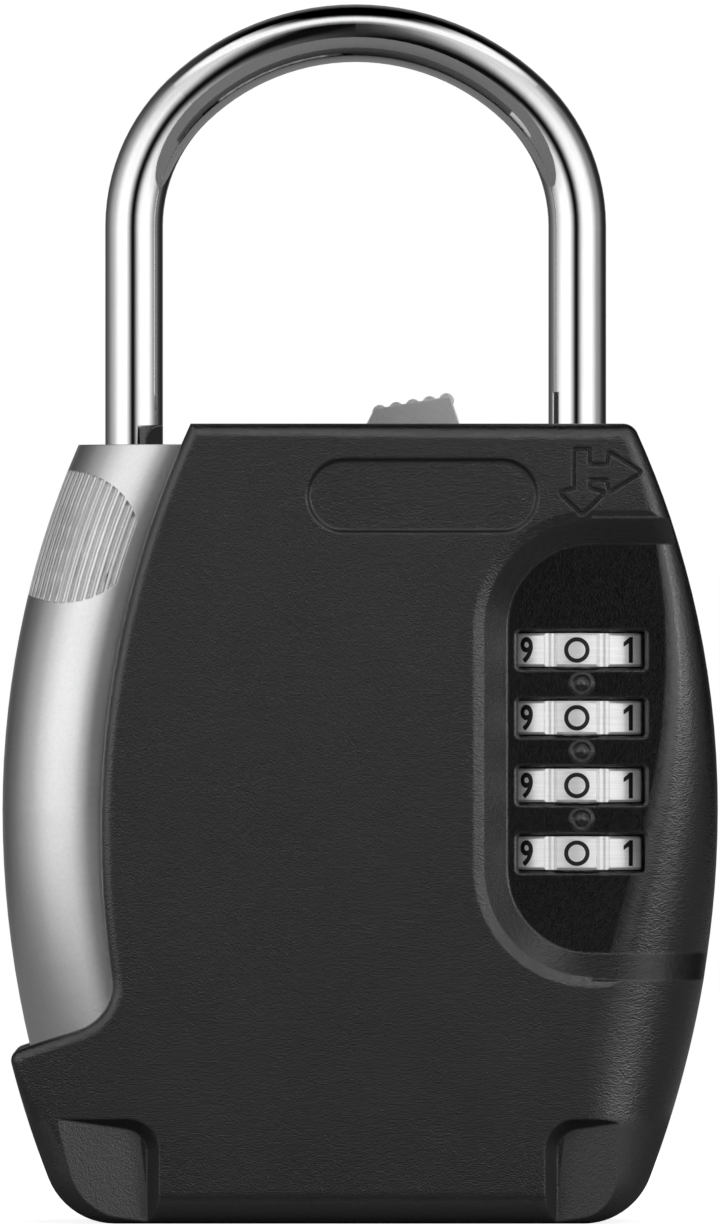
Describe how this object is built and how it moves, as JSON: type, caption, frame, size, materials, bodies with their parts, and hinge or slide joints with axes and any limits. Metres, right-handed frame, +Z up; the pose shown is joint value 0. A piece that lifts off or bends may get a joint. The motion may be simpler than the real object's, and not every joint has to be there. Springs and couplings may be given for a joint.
{
  "type": "key lock box",
  "caption": "Portable key lock box: black bowed case, silver swing-out key tray, removable round shackle, sunken number dials and a sliding release knob on top.",
  "frame": {"origin": "centre of the case's box at its base, midway across the width and the depth", "axes": "+X to the right seen from the dial side, +Y to the back, +Z up through the shackle"},
  "size_m": [0.09, 0.04, 0.1535],
  "materials": {
    "black_case": "fine-textured black powder coat on zinc die casting",
    "silver_case": "satin silver lacquer on zinc die casting",
    "chrome_rod": "polished chrome plate",
    "knob_metal": "bead-blasted, worn on the ribs",
    "dial_plate": "bright nickel plate with black numerals",
    "lock_steel": "zinc-plated steel sheet",
    "spring_wire": "drawn spring steel wire",
    "screw_steel": "blackened steel",
    "bush_brass": "turned brass"
  },
  "bodies": {
    "housing": {"front_cover": "black_case", "rear_cover": "black_case", "housing_screws": "screw_steel", "tray_pivot_pin": "lock_steel", "shackle_sleeves": "bush_brass", "pawl_cover": "lock_steel", "keeper_screws": "screw_steel", "lock_frame": "lock_steel", "frame_screws": "screw_steel", "dial_spindle": "lock_steel", "detent_spring": "spring_wire", "spindle_spring": "spring_wire", "spindle_spacer": "bush_brass", "slider_spring": "spring_wire", "left_pawl_spring": "spring_wire", "right_pawl_spring": "spring_wire"},
    "key_tray": {"tray": "silver_case", "tray_bush": "bush_brass", "tray_catch": "lock_steel"},
    "shackle": {"shackle": "chrome_rod"},
    "slider": {"latch_slider": "lock_steel", "fence_bar": "lock_steel", "knob_spring": "spring_wire"},
    "knob": {"release_knob": "knob_metal"},
    "left_pawl": {"left_pawl": "lock_steel"},
    "right_pawl": {"right_pawl": "lock_steel"},
    "dial_1": {"dial_wheel_1": "dial_plate", "code_cam_1": "bush_brass"},
    "dial_2": {"dial_wheel_2": "dial_plate", "code_cam_2": "bush_brass"},
    "dial_3": {"dial_wheel_3": "dial_plate", "code_cam_3": "bush_brass"},
    "dial_4": {"dial_wheel_4": "dial_plate", "code_cam_4": "bush_brass"}
  },
  "joints": [
    {"name": "tray_swing", "type": "hinge", "parent": "housing", "child": "key_tray", "pos_m": [-0.0365, 0, 0.0155], "axis": [0, -1, 0], "range_deg": [0, 72]},
    {"name": "shackle_lift", "type": "slide", "parent": "housing", "child": "shackle", "axis": [0, 0, 1], "range_m": [0, 0.026]},
    {"name": "latch_slide", "type": "slide", "parent": "housing", "child": "slider", "axis": [1, 0, 0], "range_m": [0, 0.004], "stiffness_N_per_m": 400, "springref_m": -0.003, "deforming": ["slider_spring"]},
    {"name": "knob_press", "type": "slide", "parent": "slider", "child": "knob", "axis": [0, 0, -1], "range_m": [0, 0.0015], "stiffness_N_per_m": 400, "springref_m": -0.003, "deforming": ["knob_spring", "left_pawl_spring", "right_pawl_spring"]},
    {"name": "left_pawl_slide", "type": "slide", "parent": "housing", "child": "left_pawl", "axis": [1, 0, 0], "range_m": [0, 0.0015]},
    {"name": "right_pawl_slide", "type": "slide", "parent": "housing", "child": "right_pawl", "axis": [-1, 0, 0], "range_m": [0, 0.0015]},
    {"name": "dial_1_turn", "type": "hinge", "parent": "housing", "child": "dial_1", "pos_m": [0.0272, -0.0069, 0.072], "axis": [0, 0, 1], "continuous": true},
    {"name": "dial_2_turn", "type": "hinge", "parent": "housing", "child": "dial_2", "pos_m": [0.0272, -0.0069, 0.0635], "axis": [0, 0, 1], "continuous": true},
    {"name": "dial_3_turn", "type": "hinge", "parent": "housing", "child": "dial_3", "pos_m": [0.0272, -0.0069, 0.055], "axis": [0, 0, 1], "continuous": true},
    {"name": "dial_4_turn", "type": "hinge", "parent": "housing", "child": "dial_4", "pos_m": [0.0272, -0.0069, 0.0465], "axis": [0, 0, 1], "continuous": true}
  ],
  "couplings": [
    {"joint": "left_pawl_slide", "follows": "knob_press", "ratio": 1},
    {"joint": "right_pawl_slide", "follows": "knob_press", "ratio": 1}
  ]
}
